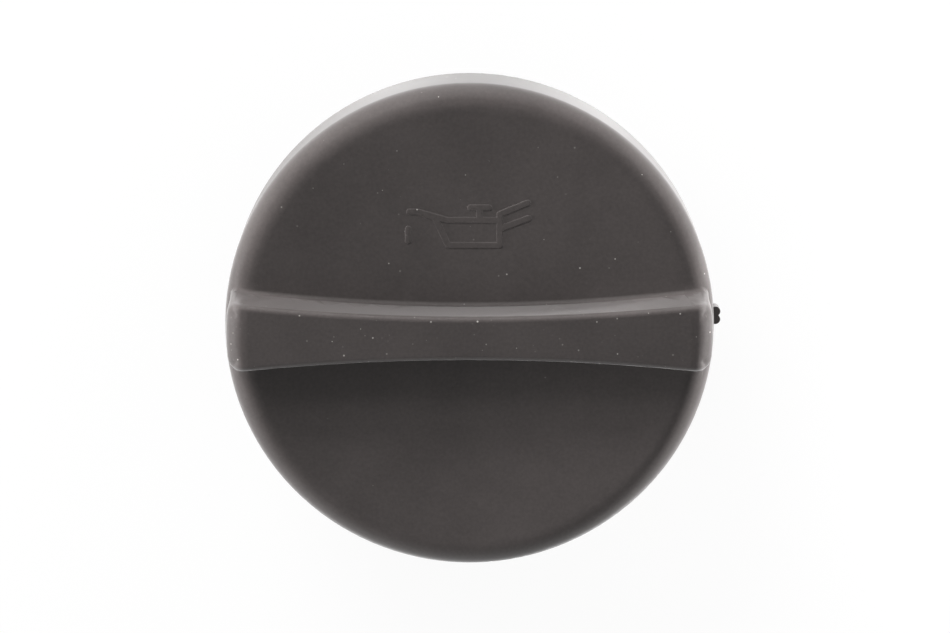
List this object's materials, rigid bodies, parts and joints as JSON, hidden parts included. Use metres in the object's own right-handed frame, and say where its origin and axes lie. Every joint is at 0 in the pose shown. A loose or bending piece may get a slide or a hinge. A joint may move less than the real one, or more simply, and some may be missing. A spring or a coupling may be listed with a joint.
{
  "type": "oil filler cap",
  "caption": "Round moulded oil filler cap with a hollowed face, a waisted grip bar across it, a bayonet stem below and a rubber seal ring.",
  "frame": {"origin": "on the cap's axis, in the plane of the seal ring's underside, where the seal meets the filler neck", "axes": "+Z along the cap's axis, up out of the neck; +X along the grip bar, towards the gate stub; +Y towards the sign on the face"},
  "size_m": [0.0612, 0.06, 0.032],
  "materials": {
    "cap_plastic": "fine moulded grain, dark warm grey",
    "seal_rubber": "matt black rubber"
  },
  "bodies": {
    "root": {"cap_body": "cap_plastic", "seal_ring": "seal_rubber"}
  },
  "joints": []
}
